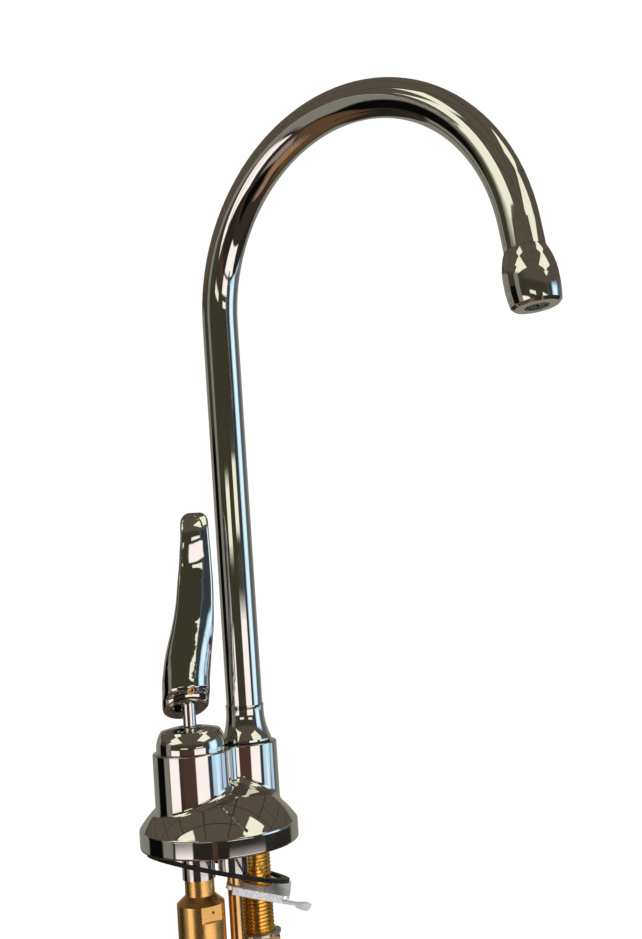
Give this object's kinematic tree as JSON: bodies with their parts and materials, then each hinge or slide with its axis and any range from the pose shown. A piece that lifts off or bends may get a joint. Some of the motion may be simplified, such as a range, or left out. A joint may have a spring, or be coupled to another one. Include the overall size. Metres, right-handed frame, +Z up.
{
  "type": "instant hot water tap",
  "caption": "Chrome instant hot water tap: swivel gooseneck spout and a self-closing lever valve side by side on one round foot, with a brass shank, clamp plate and tubes below.",
  "frame": {"origin": "middle of the round foot on the plane of the sink deck", "axes": "+Z up along the spout's riser, +X from the valve to the spout, and the user stands at -Y"},
  "size_m": [0.081, 0.1588, 0.35],
  "materials": {
    "chrome": "polished chrome plate",
    "brass": "machined brass",
    "zinc_steel": "bright zinc plate",
    "black_rubber": "moulded rubber",
    "grey_nylon": "moulded nylon",
    "copper": "drawn copper tube"
  },
  "bodies": {
    "tap_body": {"body": "chrome", "valve_block": "chrome", "spout_socket": "brass", "valve_cap": "chrome", "ball_seal": "black_rubber", "plunger_seal": "black_rubber", "return_spring": "zinc_steel", "valve_guide": "grey_nylon", "flow_cage": "grey_nylon", "valve_seat": "zinc_steel", "spout_snap_ring": "zinc_steel", "spout_washer": "grey_nylon", "inlet_fitting": "brass", "inlet_olive": "brass", "inlet_nut": "brass", "inlet_tube": "copper", "feed_tube": "copper", "threaded_shank": "brass", "hose_barb": "brass"},
    "spout": {"spout_tube": "chrome", "spout_collar": "chrome", "spout_spigot": "brass", "spout_o_rings": "black_rubber", "nozzle": "chrome", "nozzle_insert": "grey_nylon"},
    "lever": {"lever_stem": "chrome", "lever_handle": "chrome", "handle_set_screw": "brass"},
    "plunger": {"plunger": "brass", "seat_washer": "black_rubber", "poppet_holder": "brass"},
    "lock_washer": {"lock_washer": "zinc_steel"},
    "mounting_nut": {"mounting_nut": "brass"},
    "clamp_plate": {"horseshoe_plate": "zinc_steel"},
    "gasket": {"base_gasket": "black_rubber"}
  },
  "joints": [
    {"name": "spout_swivel", "type": "hinge", "parent": "tap_body", "child": "spout", "pos_m": [0.0134, 0, 0.0323], "axis": [0, 0, 1], "continuous": true},
    {"name": "lever_tilt", "type": "hinge", "parent": "tap_body", "child": "lever", "pos_m": [-0.009, 0, 0.0368], "axis": [0.9613, -0.2756, 0], "range_deg": [0, 18], "stiffness_Nm_per_rad": 0.6, "springref_deg": -5.73},
    {"name": "plunger_slide", "type": "slide", "parent": "tap_body", "child": "plunger", "axis": [0, 0, -1], "range_m": [0, 0.0019], "deforming": ["return_spring"]},
    {"name": "washer_travel", "type": "slide", "parent": "tap_body", "child": "lock_washer", "axis": [0, 0, 1], "range_m": [-0.0127, 0.0038]},
    {"name": "nut_turn", "type": "hinge", "parent": "lock_washer", "child": "mounting_nut", "pos_m": [0.0134, 0, -0.034], "axis": [0, 0, 1], "range_deg": [-3606, 1086]},
    {"name": "plate_slide", "type": "slide", "parent": "tap_body", "child": "clamp_plate", "axis": [0, 0, 1], "range_m": [-0.009, 0]},
    {"name": "gasket_lift", "type": "hinge", "parent": "tap_body", "child": "gasket", "pos_m": [-0.02475, 0, -0.00097], "axis": [0, -1, 0], "range_deg": [0, 17.6]}
  ],
  "couplings": [
    {"joint": "plunger_slide", "follows": "lever_tilt", "m_per_rad": 0.006},
    {"joint": "nut_turn", "follows": "washer_travel", "rad_per_m": 4947.4}
  ]
}
